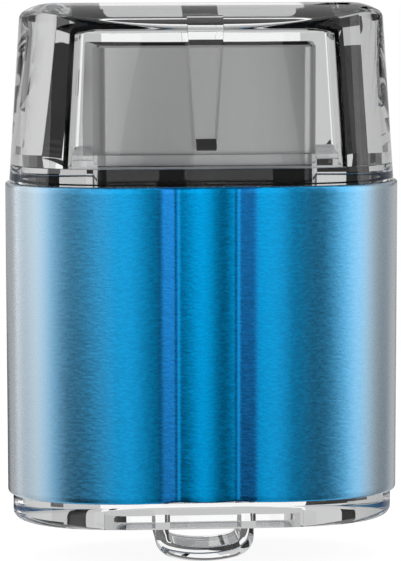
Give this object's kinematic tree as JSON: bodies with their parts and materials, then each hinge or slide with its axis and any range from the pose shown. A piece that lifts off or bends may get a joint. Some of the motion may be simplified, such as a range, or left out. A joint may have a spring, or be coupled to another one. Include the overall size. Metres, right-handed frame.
{
  "type": "usb flash drive",
  "caption": "Capped flash drive: clear pull-off cap over a steel type-A plug, oval blue aluminium sleeve with a centre channel, clear collar and clear tail with a lanyard loop.",
  "frame": {"origin": "middle of the plug where it leaves the collar, at the collar's shoulder", "axes": "+Z out of the plug, along the drive; +X across its width; -Y is the front, the side the picture shows"},
  "size_m": [0.022, 0.0096, 0.0313],
  "materials": {
    "clear_plastic": "clear moulded polycarbonate, polished",
    "blue_aluminium": "bead-blasted and anodised blue",
    "plug_steel": "nickel-plated folded sheet",
    "black_plastic": "black moulded plastic",
    "contact_gold": "gold-plated copper alloy",
    "board_green": "glass-epoxy board with solder mask",
    "chip_black": "moulded chip package",
    "tinned_lead": "tin-plated",
    "crystal_can": "pressed metal can",
    "lamp_clear": "clear resin lens",
    "capacitor_tan": "ceramic",
    "resistor_black": "coated ceramic"
  },
  "bodies": {
    "drive": {"collar": "clear_plastic", "tail_cap": "clear_plastic", "sleeve": "blue_aluminium", "plug_shell": "plug_steel", "plug_insulator": "black_plastic", "tray_back": "black_plastic", "tray_front": "black_plastic", "vbus_contact": "contact_gold", "data_minus_contact": "contact_gold", "data_plus_contact": "contact_gold", "ground_contact": "contact_gold", "circuit_board": "board_green", "memory_chip": "chip_black", "controller_chip": "chip_black", "memory_leads": "tinned_lead", "controller_leads": "tinned_lead", "solder_joints": "tinned_lead", "crystal": "crystal_can", "indicator_led": "lamp_clear", "capacitors": "capacitor_tan", "resistors": "resistor_black"},
    "cap": {"cap": "clear_plastic"}
  },
  "joints": [
    {"name": "cap_pull", "type": "slide", "parent": "drive", "child": "cap", "axis": [0, 0, 1], "range_m": [0, 0.012]}
  ]
}
